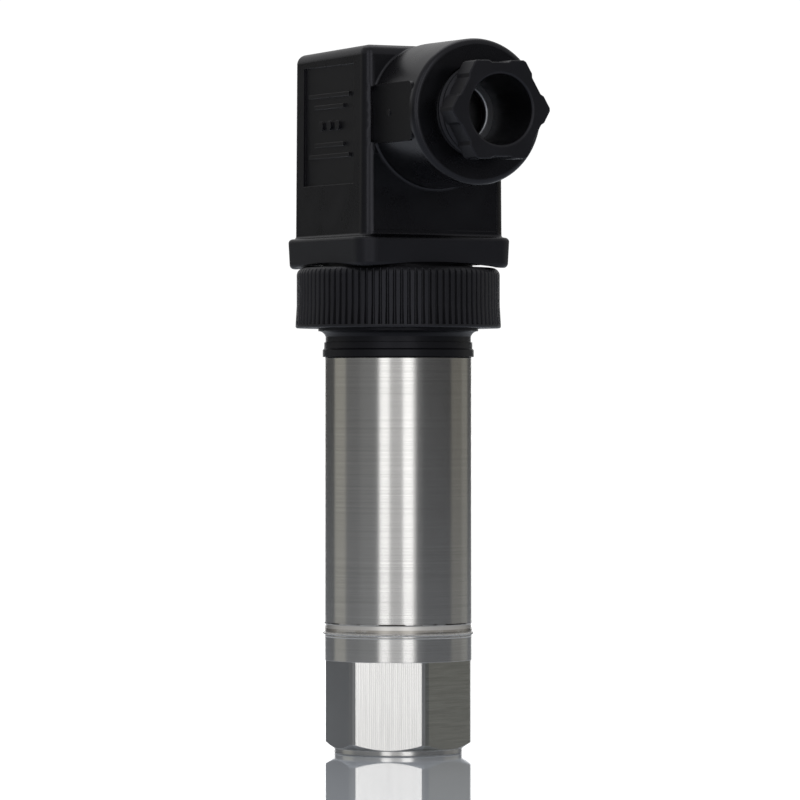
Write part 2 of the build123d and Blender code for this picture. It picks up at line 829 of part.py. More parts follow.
    # gland bore: thread, grommet seat, cable hole
    with BuildSketch(gland_plane):
        with BuildLine():
            Polyline(
                (cavity_half - housing_wall, 0),
                (cavity_half - housing_wall, cable_hole),
                (grommet_foot, cable_hole),
                (grommet_foot, nut_core_radius),
                (thread_end, nut_core_radius),
                (thread_end, gland_bore),
                (barrel_reach, gland_bore),
                (barrel_reach, 0),
                close=True,
            )
        make_face()
    revolve(axis=gland_axis, mode=Mode.SUBTRACT)
    # sunk panel on the left face, with raised bars and three studs
    panel_middle = skirt_top + panel_rise + panel_height / 2
    panel_floor = Plane(
        origin=(-(housing_half - panel_depth), 0, panel_middle), x_dir=(0, -1, 0), z_dir=(-1, 0, 0)
    )
    with BuildSketch(panel_floor):
        Rectangle(2 * panel_half, panel_height)
    extrude(amount=panel_depth, mode=Mode.SUBTRACT)
    with BuildSketch(panel_floor):
        with GridLocations(0, 2 * long_bar_offset, 1, 2):
            Rectangle(2 * (panel_half - long_bar_margin), bar_width)
        with GridLocations(0, 2 * short_bar_offset, 1, 2):
            Rectangle(2 * (panel_half - short_bar_margin), bar_width)
        with GridLocations(stud_pitch, 0, 3, 1):
            Circle(stud_radius)
    extrude(amount=bar_height)
save(connector_housing, "connector_housing")

# Terminal insert: block with four contact pockets and clamp pockets round the central screw
clamp_middle = blade_circle - socket_thickness / 2 - clamp_depth / 2
with BuildPart() as terminal_insert:
    with BuildSketch(Plane.XY.offset(pedestal_top)):
        RectangleRounded(2 * (cavity_half - insert_gap), 2 * (cavity_half - insert_gap), insert_corner)
        Circle(insert_screw_hole, mode=Mode.SUBTRACT)
        with PolarLocations(blade_circle, 4):
            Rectangle(socket_thickness, socket_width, mode=Mode.SUBTRACT)
    extrude(amount=insert_height)
    with BuildSketch(Plane.XY.offset(insert_top)):
        with PolarLocations(clamp_middle, 4):
            Rectangle(clamp_depth, clamp_width + 2 * clamp_gap)
    extrude(amount=-clamp_height, mode=Mode.SUBTRACT)
save(terminal_insert, "terminal_insert")


def make_sockets(angles):
    # box spring round the blade, with a clamp block that takes the wire from above
    with BuildPart() as shape:
        for angle in angles:
            turned = Plane.XY.offset(insert_top).rotated((0, 0, angle))
            with BuildSketch(turned):
                with Locations((blade_circle, 0)):
                    Rectangle(socket_thickness, socket_width)
            extrude(amount=-socket_height)
            with BuildSketch(turned):
                with Locations((clamp_middle, 0)):
                    Rectangle(clamp_depth, clamp_width)
            extrude(amount=-clamp_height)
            with BuildSketch(turned.offset(-socket_height)):
                with Locations((blade_circle, 0)):
                    Rectangle(blade_thickness + socket_slot, blade_width + socket_slot)
            extrude(amount=blade_top - insert_top + socket_height + socket_slot, mode=Mode.SUBTRACT)
            with BuildSketch(turned):
                with Locations((clamp_middle, 0)):
                    Circle(clamp_screw_radius)
            extrude(amount=-clamp_height, mode=Mode.SUBTRACT)
    return shape


contact_sockets = make_sockets(contact_angles)
save(contact_sockets, "contact_sockets")

earth_socket = make_sockets((earth_angle,))
save(earth_socket, "earth_socket")

with BuildPart() as terminal_screws:
    with BuildSketch(Plane.XY.offset(insert_top)):
        with PolarLocations(clamp_middle, 4):
            Circle(clamp_screw_radius)
    extrude(amount=-clamp_height)
    with BuildSketch(Plane.XY.offset(insert_top)):
        with PolarLocations(clamp_middle, 4):
            Circle(clamp_screw_head)
    extrude(amount=clamp_screw_head_height)
    with BuildSketch(Plane.XY.offset(insert_top + clamp_screw_head_height)):
        with PolarLocations(clamp_middle, 4):
            Rectangle(2 * clamp_screw_head, clamp_screw_slot)
    extrude(amount=-clamp_screw_head_height / 2, mode=Mode.SUBTRACT)
save(terminal_screws, "terminal_screws")

# Cable seal, thrust washer and gland nut, drawn in the gland's own plane
with BuildPart() as cable_grommet:
    with BuildSketch(gland_plane):
        with BuildLine():
            Polyline(
                (grommet_foot, cable_bore),
                (grommet_face, cable_bore),
                (grommet_face, nut_core_radius),
                (grommet_foot, nut_core_radius),
                close=True,
            )
        make_face()
    revolve(axis=gland_axis)
save(cable_grommet, "cable_grommet")

with BuildPart() as gland_washer:
    with BuildSketch(across_gland(washer_end)):
        Circle(washer_radius)
        Circle(cable_bore, mode=Mode.SUBTRACT)
    extrude(amount=washer_thickness)
    fillet(gland_washer.edges().filter_by(GeomType.CIRCLE), radius=washer_round)
save(gland_washer, "gland_washer")

sink_angle = math.degrees(math.atan2(sink_depth, (sink_width - sink_floor) / 2))
with BuildPart() as gland_nut:
    with BuildSketch(across_gland(nut_back)):
        RegularPolygon(nut_size / 2, 6, major_radius=False, rotation=nut_turn)
        Circle(nut_size / math.sqrt(3) - nut_corner_cut, mode=Mode.INTERSECT)
        with PolarLocations(nut_size / 2, 6, nut_turn + 30):
            Trapezoid(
                2 * sink_width - sink_floor,
                2 * sink_depth,
                sink_angle,
                rotation=90,
                mode=Mode.SUBTRACT,
            )
    extrude(amount=nut_head)
    chamfer(gland_nut.faces().sort_by(Axis.Y)[0].edges(), length=nut_edge)
    with BuildSketch(across_gland(shank_end)):
        Circle(nut_core_radius)
    extrude(amount=nut_shank)
    with BuildSketch(across_gland(shank_end)):
        Circle(nut_bore)
    extrude(amount=nut_shank + nut_head, mode=Mode.SUBTRACT)
    mouth = gland_nut.edges().filter_by(GeomType.CIRCLE).group_by(Axis.Y)[0]
    fillet(mouth.sort_by(SortBy.LENGTH)[-1], radius=nut_bore_round)
save(gland_nut, "gland_nut")

# Central screw with its washer, from the sunk seat in the top down into the base's bush
with BuildPart() as screw_washer:
    with BuildSketch(Plane.XY.offset(recess_floor)):
        Circle(screw_washer_radius)
        Circle(screw_radius + screw_gap, mode=Mode.SUBTRACT)
    extrude(amount=screw_washer_thickness)
save(screw_washer, "screw_washer")

head_bottom = recess_floor + screw_washer_thickness
with BuildPart() as central_screw:
    with BuildSketch(Plane.XY.offset(pedestal_top - screw_engagement)):
        Circle(screw_radius)
    extrude(amount=head_bottom + screw_engagement - pedestal_top)
    with BuildSketch(Plane.XY.offset(head_bottom)):
        Circle(screw_head_radius)
    extrude(amount=screw_head_height)
    crown = central_screw.faces().sort_by(Axis.Z)[-1]
    fillet(crown.edges(), radius=screw_head_height / 3)
    with BuildSketch(Plane.XY.offset(head_bottom + screw_head_height)):
        Rectangle(2 * screw_head_radius, screw_slot_width)
    extrude(amount=-screw_slot_depth, mode=Mode.SUBTRACT)
    thread_tip = central_screw.edges().filter_by(GeomType.CIRCLE).sort_by(Axis.Z)[0]
    chamfer(thread_tip, length=screw_radius / 4)
save(central_screw, "central_screw")
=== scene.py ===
import math
import random

import bmesh
import bpy
from mathutils import Matrix, Vector


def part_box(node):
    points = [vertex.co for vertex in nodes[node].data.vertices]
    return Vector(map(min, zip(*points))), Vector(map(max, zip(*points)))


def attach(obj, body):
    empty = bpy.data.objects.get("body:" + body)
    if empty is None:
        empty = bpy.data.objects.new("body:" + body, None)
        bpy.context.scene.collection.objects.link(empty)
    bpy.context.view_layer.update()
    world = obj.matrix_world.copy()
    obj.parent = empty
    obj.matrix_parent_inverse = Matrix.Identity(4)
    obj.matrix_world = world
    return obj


# Pressure transmitter with an angled cable connector: photo angle, studio light, finishes,
# and the threads and rough weld bead that the solids leave plain.

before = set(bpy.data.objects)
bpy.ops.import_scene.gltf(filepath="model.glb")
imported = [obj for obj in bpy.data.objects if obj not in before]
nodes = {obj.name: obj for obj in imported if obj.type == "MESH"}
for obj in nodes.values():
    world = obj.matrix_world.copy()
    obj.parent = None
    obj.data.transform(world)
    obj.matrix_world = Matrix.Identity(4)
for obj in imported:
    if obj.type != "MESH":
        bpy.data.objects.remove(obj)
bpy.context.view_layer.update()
mm = 0.001


def hexColour(code):
    # sRGB hex to linear, as shader sockets take it
    parts = [int(code[i:i + 2], 16) / 255 for i in (1, 3, 5)]
    return [p / 12.92 if p <= 0.04045 else ((p + 0.055) / 1.055) ** 2.4 for p in parts] + [1.0]


def addNode(tree, kind, inputs=None, **settings):
    # a node with its settings, its values and its links
    node = tree.nodes.new(kind)
    for name, value in settings.items():
        setattr(node, name, value)
    for name, value in (inputs or {}).items():
        if isinstance(value, bpy.types.NodeSocket):
            tree.links.new(value, node.inputs[name])
        else:
            node.inputs[name].default_value = value
    return node


# Camera: level, a little left of the gland, far off as in the photo
view = {
    "azimuth": -28.0,                # degrees, from the side the gland points to
    "distance": 886.7,               # mm
    "aim": (0.264, -0.140, 59.75),   # mm, just right of the axis, at half height
    "lens": 235.53,                  # mm
    "sensor": 36,                    # mm, its width
    "clip": (0.05, 60),              # m
}


def makeCamera():
    turn = math.radians(view["azimuth"])
    back = Vector((math.sin(turn), -math.cos(turn), 0))
    data = bpy.data.cameras.new("photoCamera")
    data.lens, data.sensor_width = view["lens"], view["sensor"]
    data.clip_start, data.clip_end = view["clip"]
    camera = bpy.data.objects.new("photoCamera", data)
    camera.location = Vector(view["aim"]) * mm + back * view["distance"] * mm
    camera.rotation_euler = (-back).to_track_quat("-Z", "Y").to_euler()
    bpy.context.scene.collection.objects.link(camera)
    bpy.context.scene.camera = camera


makeCamera()
print("camera set")

# Studio: white glossy table, white sweep behind, pale tent above, two tall soft boxes by the
# camera and one box overhead
studio = {
    "tableSize": 8.0,        # m, radius
    "tableSides": 96,
    "tableColour": "#D9DFE8",
    "tableGloss": 0.035,     # roughness
    "tableIor": 1.49,        # acrylic
    "backdropLevel": 1.05,   # what the camera sees past the table
    "tentLevel": 0.55,       # pale cloth overhead
    "tentFoot": 6.0,         # degrees above the horizon where it begins
    "tentFull": 12.0,
}
surroundings = [
    # degrees from the camera (minus is left) where each zone begins, level, tint
    (-180, 1.6, "#FFFFFF"),     # sweep behind
    (-161, 0.08, "#FFFEFA"),
    (-119, 0.37, "#FFFCEF"),    # pale wall on the left
    (-91, 0.155, "#FFFEFB"),
    (-62, 0.20, "#FFFFFC"),
    (-32, 0.72, "#FFFEFD"),     # room behind the camera, between the boxes
    (27, 0.12, "#FFFEFC"),
    (37, 0.05, "#FFFAF4"),      # dark wall on the right
    (91, 0.18, "#FFF9E8"),
    (117, 0.26, "#FFFCEE"),
    (137, 0.10, "#FFFEFC"),
    (161, 1.6, "#FFFFFF"),      # sweep again
]
softBoxes = {
    # angle in degrees from the camera (minus is left), then metres and radiance
    "boxLeft": {"angle": -21.0, "distance": 1.5, "width": 0.40, "height": 1.6,
                "middle": 0.8, "radiance": 1.08},
    "boxRight": {"angle": 15.5, "distance": 1.5, "width": 0.42, "height": 1.6,
                 "middle": 0.8, "radiance": 1.19},
}
topBox = {"size": 1.0, "place": (0.15, 0.45, 1.2), "aim": (0, 0, 0.06), "radiance": 0.92}


def areaLight(name, place, towards, width, height, radiance):
    data = bpy.data.lights.new(name, "AREA")
    data.shape, data.size, data.size_y = "RECTANGLE", width, height
    data.energy = radiance * math.pi * width * height   # watts that give this radiance
    lamp = bpy.data.objects.new(name, data)
    lamp.location = place
    lamp.rotation_euler = (Vector(towards) - Vector(place)).to_track_quat("-Z", "Y").to_euler()
    lamp.visible_camera = False
    bpy.context.scene.collection.objects.link(lamp)


def lightBoxes():
    for name, box in softBoxes.items():
        turn = math.radians(view["azimuth"] + box["angle"])
        place = Vector((math.sin(turn), -math.cos(turn), 0)) * box["distance"]
        place.z = box["middle"]
        areaLight(name, place, (0, 0, box["middle"]), box["width"], box["height"], box["radiance"])
    areaLight("boxTop", topBox["place"], topBox["aim"], topBox["size"], topBox["size"],
              topBox["radiance"])


def hangTent():
    # walls in upright zones round the part, the tent above them, plain white for the camera
    world = bpy.data.worlds.new("studio")
    bpy.context.scene.world = world
    world.use_nodes = True
    tree = world.node_tree
    tree.nodes.clear()
    turn = math.radians(view["azimuth"])
    ray = addNode(tree, "ShaderNodeTexCoord").outputs["Generated"]
    forward, sideways, upward = [
        addNode(tree, "ShaderNodeVectorMath", {
            0: ray, 1: axis,
        }, operation="DOT_PRODUCT").outputs["Value"]
        for axis in ((math.sin(turn), -math.cos(turn), 0), (math.cos(turn), math.sin(turn), 0),
                     (0, 0, 1))
    ]
    angle = addNode(tree, "ShaderNodeMath", {
        0: sideways, 1: forward,
    }, operation="ARCTAN2").outputs[0]
    share = addNode(tree, "ShaderNodeMapRange", {
        "Value": angle, "From Min": -math.pi, "From Max": math.pi,
    }).outputs["Result"]
    zones = addNode(tree, "ShaderNodeValToRGB", {"Fac": share})
    zones.color_ramp.interpolation = "CONSTANT"
    stops = zones.color_ramp.elements
    for i, (begins, level, tint) in enumerate(surroundings):
        place = (begins + 180) / 360
        stop = stops[i] if i < 2 else stops.new(place)   # a new ramp has two stops
        stop.position = place
        stop.color = [level * c for c in hexColour(tint)[:3]] + [1]
    tent = addNode(tree, "ShaderNodeMapRange", {
        "Value": upward, "From Min": math.sin(math.radians(studio["tentFoot"])),
        "From Max": math.sin(math.radians(studio["tentFull"])),
    }, interpolation_type="SMOOTHSTEP").outputs["Result"]
    around = addNode(tree, "ShaderNodeMix", {
        0: tent, 6: zones.outputs["Color"], 7: [studio["tentLevel"]] * 3 + [1],
    }, data_type="RGBA").outputs[2]
    toCamera = addNode(tree, "ShaderNodeLightPath").outputs["Is Camera Ray"]
    seen = addNode(tree, "ShaderNodeBackground", {
        "Color": (1, 1, 1, 1), "Strength": studio["backdropLevel"],
    })
    lit = addNode(tree, "ShaderNodeBackground", {"Color": around})
    mixed = addNode(tree, "ShaderNodeMixShader", {
        0: toCamera, 1: lit.outputs[0], 2: seen.outputs[0],
    })
    addNode(tree, "ShaderNodeOutputWorld", {"Surface": mixed.outputs[0]})


def setTable():
    # table top, its edge well out of the picture
    shape = bmesh.new()
    bmesh.ops.create_circle(shape, cap_ends=True, segments=studio["tableSides"],
                            radius=studio["tableSize"])
    mesh = bpy.data.meshes.new("tableTop")
    shape.to_mesh(mesh)
    shape.free()
    table = bpy.data.objects.new("tableTop", mesh)
    bpy.context.scene.collection.objects.link(table)
    # cast acrylic, polished: cool white that mirrors the foot of the part
    glossyAcrylic = bpy.data.materials.new("glossyAcrylic")
    glossyAcrylic.use_nodes = True
    surface = glossyAcrylic.node_tree.nodes["Principled BSDF"]
    surface.inputs["Base Color"].default_value = hexColour(studio["tableColour"])
    surface.inputs["Roughness"].default_value = studio["tableGloss"]
    surface.inputs["IOR"].default_value = studio["tableIor"]
    mesh.materials.append(glossyAcrylic)


lightBoxes()
hangTent()
setTable()
bpy.context.scene.view_settings.view_transform = "Standard"
print("studio lit")


def startMaterial(name, colour, roughness, **sockets):
    material = bpy.data.materials.new(name)
    material.use_nodes = True
    tree = material.node_tree
    surface = tree.nodes["Principled BSDF"]
    surface.inputs["Base Color"].default_value = hexColour(colour)
    surface.inputs["Roughness"].default_value = roughness
    for socket, value in sockets.items():
        surface.inputs[socket].default_value = value
    place = addNode(tree, "ShaderNodeTexCoord").outputs["Object"]
    return material, tree, surface, place


def within(tree, place, low, high):
    # 1 inside a box given in mm, 0 outside it
    mask = 1.0
    split = addNode(tree, "ShaderNodeSeparateXYZ", {0: place}).outputs
    for part, least, most in zip(split, low, high):
        inside = addNode(tree, "ShaderNodeMath", {
            0: part, 1: (least + most) / 2 * mm, 2: (most - least) / 2 * mm,
        }, operation="COMPARE").outputs[0]
        mask = addNode(tree, "ShaderNodeMath", {
            0: inside, 1: mask,
        }, operation="MULTIPLY").outputs[0]
    return mask


def paint(material, *names):
    for name in names:
        slots = nodes[name].data.materials
        slots.clear()
        slots.append(material)


# Steel of the port and tube
steel = {
    "colour": "#CFCECC",
    "dark": "#C0BFBD",
    "roughness": 0.175,
    "wander": 0.03,               # of the roughness, either way
    "clouds": (90, 90, 30),       # per metre, patches of finer and coarser brushing
    "edge": 0.12,                 # mm, broken edges
    "turnedPitch": 0.16,          # mm between tool marks, drawn coarser so that they show
    "turnedRun": 250,             # pitches that a mark runs on round the tube
    "turnedTones": (0.3, 0.7),    # the noise's low and high ends
    "turnedDepth": 0.02,          # mm
    "turnedStrength": 0.05,
    "milledPitch": 0.15,          # mm, drawn coarser too
    "uprightRun": 90,             # pitches that a mark runs on up the first flat
    "levelRun": 50,               # and along the second
    "levelWidth": 3,              # pitches from mark to mark there
    "milledTones": (0.35, 0.65),
    "comb": 210,                  # even cutter marks to a turn, on the upright ones
    "combShare": 0.12,
    "frontFlat": -126.5,          # degrees from +X to the flat towards the camera
    "hexFoot": 1.0,               # mm, the milled flats lie between these heights
    "hexTop": 15.8,
}
flatTonesAndShade = [
    # tones of the milled flats, from the one towards the camera to the right: their cutter marks,
    # and painted shade that makes the second and third darker than the first
    {"dark": "#C2C1BF", "pale": "#D0CFCD"},
    {"dark": "#A1A19B", "pale": "#B0B0AA"},
    {"dark": "#A9A9A8", "pale": "#AFAFAE"},
]
weldMarksAndShade = [
    # heights in mm, colour, roughness, how far the noise breaks it up; a dark line of painted
    # shade along the weld's toe, where the groove lies in shade, brushed band and heat tint
    # painted shade: the dark line where the groove at the weld's toe lies in shade
    {"low": 22.00, "high": 22.20, "colour": "#2E2B27", "roughness": 0.40, "broken": 0.9},
    {"low": 21.20, "high": 22.00, "colour": "#D2D0CD", "roughness": 0.36, "broken": 0.0},
    {"low": 20.58, "high": 21.20, "colour": "#A8A49E", "roughness": 0.30, "broken": 0.5},
]
weldNoise = {"scale": 260.0, "low": 0.42, "high": 0.50}   # per metre, and where it breaks a mark
wide = 99.0                       # mm, beyond the part on each side


def turnedStainless():
    # 316L stainless steel, turned and lightly brushed: tight rings round the tube, cutter marks on
    # the milled flats that run up one, along the next and hardly show on the third, painted shade
    # that makes the second and third flats darker, a pale brushed band over the weld with a dark
    # line of painted shade along its toe, broken edges that catch the light
    material, tree, surface, place = startMaterial(
        "turnedStainless", steel["colour"], steel["roughness"], Metallic=1.0)
    rings = 1 / (steel["turnedPitch"] * mm)
    ringRun = rings / steel["turnedRun"]
    marks = 1 / (steel["milledPitch"] * mm)
    levelRun = marks / steel["levelRun"]
    turned, upright, level, cloud = [
        addNode(tree, "ShaderNodeTexNoise", {
            "Vector": addNode(tree, "ShaderNodeMapping", {
                "Vector": place, "Scale": scale,
            }).outputs["Vector"],
            "Scale": 1.0, "Detail": 3.0,
        }).outputs["Fac"]
        for scale in ((ringRun, ringRun, rings), (marks, marks, marks / steel["uprightRun"]),
                      (levelRun, levelRun, marks / steel["levelWidth"]), steel["clouds"])
    ]

    # the flats: which sixth of a turn, and the even comb of the upright marks
    split = addNode(tree, "ShaderNodeSeparateXYZ", {0: place}).outputs
    angle = addNode(tree, "ShaderNodeMath", {
        0: split["Y"], 1: split["X"],
    }, operation="ARCTAN2").outputs[0]
    sixths = addNode(tree, "ShaderNodeMath", {
        0: angle, 1: 3 / math.pi, 2: 0.5 - steel["frontFlat"] / 60,
    }, operation="MULTIPLY_ADD").outputs[0]
    flat = addNode(tree, "ShaderNodeMath", {
        0: sixths, 1: 3.0,
    }, operation="FLOORED_MODULO").outputs[0]
    comb = addNode(tree, "ShaderNodeMath", {
        0: angle, 1: steel["comb"],
    }, operation="MULTIPLY").outputs[0]
    comb = addNode(tree, "ShaderNodeMath", {0: comb}, operation="SINE").outputs[0]
    upright = addNode(tree, "ShaderNodeMath", {
        0: comb, 1: steel["combShare"], 2: upright,
    }, operation="MULTIPLY_ADD").outputs[0]
    onHex = within(tree, place, (-wide, -wide, steel["hexFoot"]), (wide, wide, steel["hexTop"]))

    tone = addNode(tree, "ShaderNodeMapRange", {
        "Value": turned, "From Min": steel["turnedTones"][0], "From Max": steel["turnedTones"][1],
    }).outputs[0]
    colour = addNode(tree, "ShaderNodeMix", {
        0: tone, 6: hexColour(steel["dark"]), 7: hexColour(steel["colour"]),
    }, data_type="RGBA").outputs[2]
    # each flat in its own tones: the darker second and third are painted shade
    for i, (pattern, look) in enumerate(zip((upright, level, cloud), flatTonesAndShade)):
        onFlat = addNode(tree, "ShaderNodeMath", {
            0: flat, 1: i + 0.5, 2: 0.5,
        }, operation="COMPARE").outputs[0]
        share = addNode(tree, "ShaderNodeMath", {
            0: onFlat, 1: onHex,
        }, operation="MULTIPLY").outputs[0]
        tone = addNode(tree, "ShaderNodeMapRange", {
            "Value": pattern,
            "From Min": steel["milledTones"][0], "From Max": steel["milledTones"][1],
        }).outputs[0]
        milled = addNode(tree, "ShaderNodeMix", {
            0: tone, 6: hexColour(look["dark"]), 7: hexColour(look["pale"]),
        }, data_type="RGBA").outputs[2]
        colour = addNode(tree, "ShaderNodeMix", {
            0: share, 6: colour, 7: milled,
        }, data_type="RGBA").outputs[2]

    # the weld: each mark over the steel, broken up by noise; the dark toe line among them is
    # painted shade
    rough = addNode(tree, "ShaderNodeMapRange", {
        "Value": cloud, "To Min": steel["roughness"] - steel["wander"],
        "To Max": steel["roughness"] + steel["wander"],
    }).outputs[0]
    breaks = addNode(tree, "ShaderNodeTexNoise", {
        "Vector": place, "Scale": weldNoise["scale"], "Detail": 2.0,
    }).outputs["Fac"]
    for mark in weldMarksAndShade:
        share = within(tree, place, (-wide, -wide, mark["low"]), (wide, wide, mark["high"]))
        shown = addNode(tree, "ShaderNodeMapRange", {
            "Value": breaks, "From Min": weldNoise["low"], "From Max": weldNoise["high"],
            "To Min": 1 - mark["broken"],
        }).outputs[0]
        share = addNode(tree, "ShaderNodeMath", {
            0: share, 1: shown,
        }, operation="MULTIPLY").outputs[0]
        colour = addNode(tree, "ShaderNodeMix", {
            0: share, 6: colour, 7: hexColour(mark["colour"]),
        }, data_type="RGBA").outputs[2]
        rough = addNode(tree, "ShaderNodeMix", {
            0: share, 2: rough, 3: mark["roughness"],
        }).outputs[0]

    tree.links.new(colour, surface.inputs["Base Color"])
    tree.links.new(rough, surface.inputs["Roughness"])
    softEdge = addNode(tree, "ShaderNodeBevel", {"Radius": steel["edge"] * mm}, samples=4)
    bump = addNode(tree, "ShaderNodeBump", {
        "Height": turned, "Strength": steel["turnedStrength"],
        "Distance": steel["turnedDepth"] * mm, "Normal": softEdge.outputs[0],
    })
    tree.links.new(bump.outputs[0], surface.inputs["Normal"])
    return material


tubeSteel = turnedStainless()
paint(tubeSteel, "pressure_port", "body_tube", "cell_retainer")
print("steel painted")

# Weld bead round the joint of port and tube: a fine uneven ridge that stands a little proud
bead = {
    "radius": 12.56,       # mm, of its middle line
    "height": 20.33,
    "thickness": 0.17,     # radius of its section
    "uneven": 0.05,        # how far it wanders
    "steps": 480,
    "sides": 8,
    "seed": 7,
}


def layBead():
    wander = random.Random(bead["seed"])
    strays = [(wander.uniform(-1, 1), wander.uniform(-1, 1)) for _ in range(bead["steps"])]
    shape = bmesh.new()
    start = Matrix.Translation((bead["radius"] * mm, 0, bead["height"] * mm))
    upright = Matrix.Rotation(math.radians(90), 4, "X")
    bmesh.ops.create_circle(shape, segments=bead["sides"], radius=bead["thickness"] * mm,
                            matrix=start @ upright)
    bmesh.ops.spin(shape, geom=shape.verts[:] + shape.edges[:], cent=(0, 0, 0), axis=(0, 0, 1),
                   angle=2 * math.pi, steps=bead["steps"], use_merge=True)
    for point in shape.verts:
        turn = math.atan2(point.co.y, point.co.x)
        stray = strays[round(turn / (2 * math.pi) * bead["steps"]) % bead["steps"]]
        outward, upward = [share * bead["uneven"] * mm for share in stray]
        point.co += Vector((math.cos(turn) * outward, math.sin(turn) * outward, upward))
    for face in shape.faces:
        face.smooth = True
    bmesh.ops.recalc_face_normals(shape, faces=shape.faces)
    mesh = bpy.data.meshes.new("weldBead")
    shape.to_mesh(mesh)
    shape.free()
    mesh.materials.append(tubeSteel)
    ridge = bpy.data.objects.new("weldBead", mesh)
    bpy.context.scene.collection.objects.link(ridge)
    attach(ridge, "sensor")


layBead()
print("weld bead laid")

# Plastics: colours, roughness, grain of the mould in mm, and the pieces
dullFaces = [
    # boxes in mm round the housing's faces with a finish of their own, and how far the faces lean
    # back: panel, both side pads, skirt
    {"low": (-13.3, -9.3, 95.8), "high": (-12.3, 9.3, 116.0), "roughness": 0.30, "lean": 0.15},
    {"low": (-11.75, -26.7, 102.2), "high": (-11.55, -12.6, 112.3), "roughness": 0.30,
     "lean": 0.15},
    {"low": (11.55, -26.7, 102.2), "high": (11.75, -12.6, 112.3), "roughness": 0.30, "lean": 0.15},
    {"low": (-wide, -wide, 82.0), "high": (wide, wide, 86.8), "roughness": 0.45, "lean": 0.0},
]
plastics = {
    "mouldedPolyamide": {"colour": "#070709", "pale": "#0B0B0D", "roughness": 0.27, "ior": 1.40,
                         "grain": 0.35, "grainDepth": 0.008, "dull": dullFaces,
                         "pieces": ("connector_housing", "pin_carrier")},
    "ribbedPolyamide": {"colour": "#19191B", "pale": "#1E1E21", "roughness": 0.42, "ior": 1.36,
                        "grain": 0.5, "grainDepth": 0.008, "dull": [],
                        "pieces": ("coupling_ring",)},
    "neckPolyamide": {"colour": "#08080A", "pale": "#0D0D0F", "roughness": 0.40, "ior": 1.34,
                      "grain": 0.4, "grainDepth": 0.010, "dull": [],
                      "pieces": ("threaded_neck",)},
    "nutPolyamide": {"colour": "#0B0B0D", "pale": "#101013", "roughness": 0.38, "ior": 1.40,
                     "grain": 0.35, "grainDepth": 0.010, "dull": [],
                     "pieces": ("gland_nut",)},
    "greyPolyamide": {"colour": "#3A3B3D", "pale": "#4A4B4E", "roughness": 0.45, "ior": 1.53,
                      "grain": 0.4, "grainDepth": 0.02, "dull": [],
                      "pieces": ("terminal_insert", "board_frame")},
}
moulding = {
    "sheen": "#F2F2FF",        # reflections, faintly blue
    "clouds": 160.0,           # per metre
    "patches": (0.4, 0.75),    # part of the clouds that turns pale
    "glossier": 0.05,          # how far the roughness wanders down and up
    "duller": 0.07,
    "edge": 0.12,              # mm, soft edges
    "grainStrength": 0.5,
}


def mouldedPolyamide(name, look):
    # glass-filled polyamide 6, injection moulded: near black, satin, with the faint grain of the
    # mould's eroded steel and paler cloudy patches where the glass comes to the surface
    material, tree, surface, place = startMaterial(
        name, look["colour"], look["roughness"], IOR=look["ior"])
    surface.inputs["Specular Tint"].default_value = hexColour(moulding["sheen"])
    grain = addNode(tree, "ShaderNodeTexNoise", {
        "Vector": place, "Scale": 1 / (look["grain"] * mm), "Detail": 2.0,
    }).outputs["Fac"]
    cloud = addNode(tree, "ShaderNodeTexNoise", {
        "Vector": place, "Scale": moulding["clouds"], "Detail": 4.0,
    }).outputs["Fac"]
    patch = addNode(tree, "ShaderNodeMapRange", {
        "Value": cloud, "From Min": moulding["patches"][0], "From Max": moulding["patches"][1],
    }).outputs[0]
    colour = addNode(tree, "ShaderNodeMix", {
        0: patch, 6: hexColour(look["colour"]), 7: hexColour(look["pale"]),
    }, data_type="RGBA").outputs[2]
    tree.links.new(colour, surface.inputs["Base Color"])
    rough = addNode(tree, "ShaderNodeMapRange", {
        "Value": cloud, "To Min": look["roughness"] - moulding["glossier"],
        "To Max": look["roughness"] + moulding["duller"],
    }).outputs[0]
    normal = addNode(tree, "ShaderNodeBevel", {
        "Radius": moulding["edge"] * mm,
    }, samples=4).outputs[0]
    for face in look["dull"]:
        share = within(tree, place, face["low"], face["high"])
        rough = addNode(tree, "ShaderNodeMix", {
            0: share, 2: rough, 3: face["roughness"],
        }).outputs[0]
        normal = addNode(tree, "ShaderNodeVectorMath", {
            0: share, 1: (0, face["lean"], 0), 2: normal,
        }, operation="MULTIPLY_ADD").outputs[0]
    tree.links.new(rough, surface.inputs["Roughness"])
    bump = addNode(tree, "ShaderNodeBump", {
        "Height": grain, "Strength": moulding["grainStrength"],
        "Distance": look["grainDepth"] * mm, "Normal": normal,
    })
    tree.links.new(bump.outputs[0], surface.inputs["Normal"])
    return material


finishes = {}
for finishName, finishLook in plastics.items():
    finishes[finishName] = mouldedPolyamide(finishName, finishLook)
    paint(finishes[finishName], *finishLook["pieces"])
print("plastics painted")

# Plated and plain metals of the small parts
metals = {
    "zincPlate": {"colour": "#C8CACB", "roughness": 0.20, "cell": 0.8,
                  "pieces": ("screw_washer", "central_screw", "terminal_screws")},
    "springSteel": {"colour": "#8A8C90", "roughness": 0.30, "cell": 0.8,
                    "pieces": ("gland_washer",)},
    "tinPlate": {"colour": "#C9C7C0", "roughness": 0.28, "cell": 1.2,
                 "pieces": ("contact_blades", "earth_blade", "contact_sockets", "earth_socket")},
    "turnedBrass": {"colour": "#C9A55C", "roughness": 0.25, "cell": 1.0,
                    "pieces": ("screw_bush", "cell_pins", "header_pins")},
}
metalSkin = {"glossier": 0.07, "duller": 0.09, "strength": 0.15, "depth": 0.01}   # depth in mm


